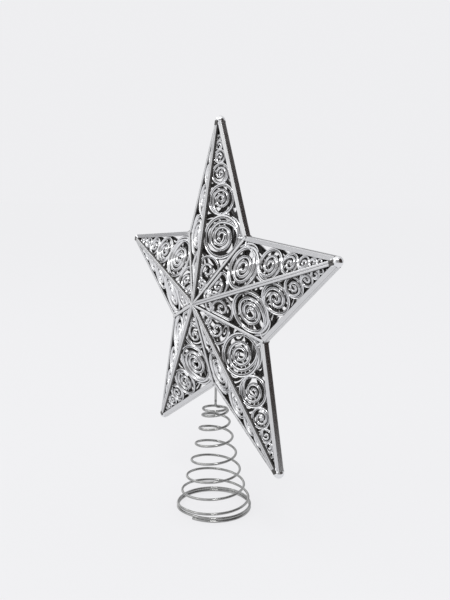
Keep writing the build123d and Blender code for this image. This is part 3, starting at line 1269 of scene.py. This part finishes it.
@dataclass(frozen=True)
class SideCard:
    """An upright card on an arc round the star, between two directions counted from +X towards +Y."""

    name: str
    from_deg: float
    to_deg: float
    radius: float
    height: float
    grey: Colour
    steps: int = 25

    def grid(self) -> np.ndarray:
        """Its points: one on the floor and one at its height, at each step of the arc.

        Returns:
            (steps, 2, 3) points.
        """
        angle = np.radians(np.linspace(self.from_deg, self.to_deg, self.steps))
        foot = np.column_stack([self.radius * directions(angle), np.zeros(self.steps)])
        return np.stack([foot, foot + self.height * UP], axis=1)


@dataclass(frozen=True)
class Softbox:
    """A rectangular lamp: the place of its middle, its width and height, its power in watts.

    mirrored says whether the metal shows it.
    """

    name: str
    place: tuple[float, float, float]
    size: tuple[float, float]
    power: float
    mirrored: bool

    def build(self, target: Vector) -> None:
        """Makes the lamp, turned to a target.

        Args:
            target: the point that it faces.
        """
        lamp = bpy.data.lights.new(self.name, "AREA")
        lamp.shape = "RECTANGLE"
        lamp.size, lamp.size_y = self.size
        lamp.energy = self.power
        made = bpy.data.objects.new(self.name, lamp)
        made.location = self.place
        made.rotation_euler = (target - Vector(self.place)).to_track_quat("-Z", "Y").to_euler()
        made.visible_camera = False
        made.visible_glossy = self.mirrored
        bpy.context.scene.collection.objects.link(made)


@dataclass
class Studio:
    """Pale floor, soft light, cards that only reflections see, and the camera."""

    white: Colour = (1.0, 1.0, 1.0, 1.0)
    pale: Colour = (0.859, 0.859, 0.8755, 1.0)
    mirrored: Colour = (0.67, 0.67, 0.685, 1.0)
    mirrored_floor: Colour = (0.74, 0.74, 0.755, 1.0)
    fill: float = 0.97
    star_height: float = 0.14
    floor_glow: float = 0.88
    floor_size: float = 40.0
    floor_drop: float = 0.0002
    floor_steps: int = 9
    floor_grain: float = 900.0
    floor_detail: float = 2.0
    floor_smoothest: float = 0.85
    floor_roughest: float = 0.95
    camera_turn_deg: float = 55.826
    camera_distance: float = 0.4322
    camera_height: float = 0.201
    look_turn_deg: float = 55.18
    look_down_deg: float = 8.30
    roll_deg: float = 1.036
    focal_mm: float = 41.4
    sensor_mm: float = 36.0
    nearest: float = 0.01
    farthest: float = 100.0
    ring_turn_deg: float = 215.0
    ring_rise_deg: float = 12.0
    ring_open_deg: tuple[float, float] = (24.0, 60.0)
    ring_radius: float = 1.6
    ring_steps: int = 49
    ceiling_height: float = 1.1
    ceiling_span: tuple[float, float] = (-1.2, 0.35)
    side_cards: tuple[SideCard, ...] = (
        SideCard("dark_card", -8.0, 62.0, 1.1, 1.5, (0.035, 0.027, 0.024, 1.0)),
        SideCard("camera_card", -60.0, -8.0, 1.1, 1.5, (0.32, 0.315, 0.315, 1.0)),
        SideCard("back_card", 105.0, 163.0, 2.0, 1.0, (0.38, 0.38, 0.39, 1.0)),
        SideCard("left_card", 163.0, 195.0, 2.0, 1.0, (0.56, 0.56, 0.57, 1.0)),
        SideCard("inner_card", 193.0, 209.0, 2.0, 1.0, (0.36, 0.36, 0.37, 1.0)),
        SideCard("front_card", 230.0, 275.0, 1.7, 0.9, (0.86, 0.86, 0.87, 1.0)),
    )
    softboxes: tuple[Softbox, ...] = (
        Softbox("top_box", (-0.15, -0.25, 1.3), (0.7, 0.7), 1.3, mirrored=False),
        Softbox("front_box", (-0.26, -0.98, 0.95), (0.4, 0.2), 0.7, mirrored=True),
        Softbox("high_box", (0.5, -0.36, 1.0), (0.26, 0.22), 2.2, mirrored=True),
        Softbox("left_box", (-1.0, -0.35, 0.9), (0.6, 0.2), 0.5, mirrored=True),
    )

    def seen_rays(self, nodes: Nodes, mirrored: Colour) -> tuple[Socket, Socket]:
        """Which rays show a surround, and the colour they show: quieter off metal than to the camera.

        Args:
            nodes: the tree that uses them.
            mirrored: the colour that metal shows.
        Returns:
            1 for rays from the camera, off metal or through glass, and the colour.
        """
        path = nodes.add("ShaderNodeLightPath").outputs
        direct = nodes.math("MAXIMUM", path["Is Camera Ray"], path["Is Transmission Ray"])
        colour = nodes.mix(path["Is Glossy Ray"], self.pale, mirrored)
        return nodes.math("MAXIMUM", direct, path["Is Glossy Ray"]), colour

    def world(self) -> None:
        """A pale surround for the camera and for reflections, and a plain soft light for the rest."""
        world = bpy.data.worlds.new("studio")
        world.use_nodes = True
        bpy.context.scene.world = world
        nodes = Nodes(world.node_tree)
        seen, shown = self.seen_rays(nodes, self.mirrored)
        plain = nodes.add("ShaderNodeBackground", Color=shown, Strength=1.0)
        light = nodes.add("ShaderNodeBackground", Color=self.white, Strength=self.fill)
        mixed = nodes.add("ShaderNodeMixShader", Fac=seen, i1=light.outputs[0], i2=plain.outputs[0])
        nodes.add("ShaderNodeOutputWorld", Surface=mixed.outputs[0])

    def floor(self) -> None:
        """A pale matt floor that melts into the surround and keeps a little of the object's shadow."""
        made, nodes = new_material("pale_floor")
        place = nodes.add("ShaderNodeTexCoord").outputs["Object"]
        grain = nodes.noise(place, self.floor_grain, self.floor_detail)
        roughness = nodes.span(grain, self.floor_smoothest, self.floor_roughest)
        matt = nodes.add("ShaderNodeBsdfPrincipled", Base_Color=self.pale, Roughness=roughness)
        matt.inputs["Specular IOR Level"].default_value = 0.0
        seen, shown = self.seen_rays(nodes, self.mirrored_floor)
        plain = nodes.add("ShaderNodeEmission", Color=shown, Strength=1.0)
        share = nodes.math("MULTIPLY", seen, self.floor_glow)
        mixed = nodes.add("ShaderNodeMixShader", Fac=share, i1=matt.outputs[0], i2=plain.outputs[0])
        nodes.add("ShaderNodeOutputMaterial", Surface=mixed.outputs[0])
        places = np.linspace(-self.floor_size / 2, self.floor_size / 2, self.floor_steps)
        self.stage_sheet("floor", level_grid(places, -self.floor_drop), made)

    def stage_sheet(self, name: str, points: np.ndarray, material: bpy.types.Material) -> bpy.types.Object:
        """An open sheet of the studio, which isn't part of the object.

        Args:
            name: the sheet's name.
            points: (rows, columns, 3) grid.
            material: its finish.
        Returns:
            The sheet.
        """
        order = np.arange(points.size // 3).reshape(points.shape[:2])
        mesh = bpy.data.meshes.new(name)
        mesh.from_pydata(points.reshape(-1, 3).tolist(), [], grid_quads(order).tolist())
        mesh.materials.append(material)
        made = bpy.data.objects.new(name, mesh)
        bpy.context.scene.collection.objects.link(made)
        return made

    def card(self, name: str, points: np.ndarray, grey: Colour) -> None:
        """A card that only reflections see.

        Args:
            name: the card's name.
            points: (rows, columns, 3) grid.
            grey: its colour in reflections.
        """
        made, nodes = new_material(name)
        glow = nodes.add("ShaderNodeEmission", Color=grey, Strength=1.0)
        nodes.add("ShaderNodeOutputMaterial", Surface=glow.outputs[0])
        card = self.stage_sheet(name, points, made)
        card.visible_camera = False
        card.visible_diffuse = False
        card.visible_shadow = False
        card.visible_transmission = False

    def cards(self) -> None:
        """Upright cards round the star, a ceiling and a ring, which make up what the metal reflects."""
        for card in self.side_cards:
            self.card(card.name, card.grid(), card.grey)
        self.card("ceiling_card", level_grid(self.ceiling_span, self.ceiling_height), self.white)
        self.card("ring_card", self.ring(), self.white)

    def ring(self) -> np.ndarray:
        """A ring round the direction that the front facets mirror, for bright lines on round strands.

        Its points lie on a sphere, at one angle from the ring's axis for each of its two edges.

        Returns:
            (steps, 2, 3) points.
        """
        turn, rise = math.radians(self.ring_turn_deg), math.radians(self.ring_rise_deg)
        ahead = np.array([math.cos(turn) * math.cos(rise), math.sin(turn) * math.cos(rise), math.sin(rise)])
        level = np.array([-math.sin(turn), math.cos(turn), 0.0])
        above = np.cross(ahead, level)
        spin = np.linspace(0, math.tau, self.ring_steps)[:, None, None]
        angle = np.radians(self.ring_open_deg)[None, :, None]
        across = np.sin(angle) * (np.cos(spin) * level + np.sin(spin) * above)
        return self.ring_radius * (np.cos(angle) * ahead + across) + self.star_height * UP

    def lamps(self) -> None:
        """A broad softbox overhead that only lights, and three smaller ones that glint on the metal."""
        for box in self.softboxes:
            box.build(Vector(self.star_height * UP))

    def camera(self) -> None:
        """The photograph's viewpoint: turned about the spring's axis, looking a little down and rolled."""
        turn, look = math.radians(self.camera_turn_deg), math.radians(self.look_turn_deg)
        down, roll = math.radians(self.look_down_deg), math.radians(self.roll_deg)
        place = Vector((math.sin(turn), -math.cos(turn), 0.0)) * self.camera_distance
        place.z = self.camera_height
        ahead = Vector((-math.sin(look) * math.cos(down), math.cos(look) * math.cos(down), -math.sin(down)))
        level = Vector((math.cos(look), math.sin(look), 0.0))
        upright = level.cross(ahead)
        right = level * math.cos(roll) + upright * math.sin(roll)
        top = upright * math.cos(roll) - level * math.sin(roll)
        data = bpy.data.cameras.new("camera")
        data.lens, data.sensor_width = self.focal_mm, self.sensor_mm
        data.clip_start, data.clip_end = self.nearest, self.farthest
        made = bpy.data.objects.new("camera", data)
        made.matrix_world = Matrix.Translation(place) @ Matrix((right, top, -ahead)).transposed().to_4x4()
        bpy.context.scene.collection.objects.link(made)
        bpy.context.scene.camera = made

    def build(self) -> None:
        """Makes the whole studio, with colours shown as they are written."""
        bpy.context.scene.view_settings.view_transform = "Standard"
        self.world()
        self.floor()
        self.cards()
        self.lamps()
        self.camera()


def main() -> None:
    """Builds the studio and each piece of the topper."""
    logging.basicConfig(level=logging.INFO, format="%(message)s")
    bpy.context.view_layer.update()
    Studio().build()
    coating = UnevenMetal().group()
    plating = SilverPlating().material(coating)
    steel = DrawnSteel().material(coating)
    centre_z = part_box("front_shell")[1].z / MM - StarShell.tip_radius - StarShell.bead_length / 2
    stem_low, stem_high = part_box("stem")
    pieces = [
        StarShell(ShellSide.FRONT, centre_z).build(plating, "star_front", "front_shell"),
        StarShell(ShellSide.BACK, centre_z).build(plating, "star_back", "back_shell"),
        ConeSpring(stem_low.z / MM).build(steel),
        Stem(stem_low.z / MM, stem_high.z / MM).build(steel),
    ]
    for piece in pieces:
        triangles = sum(len(face.vertices) - 2 for face in piece.data.polygons)
        log.info("%s: %d triangles", piece.name, triangles)


if __name__ == "__main__":
    main()
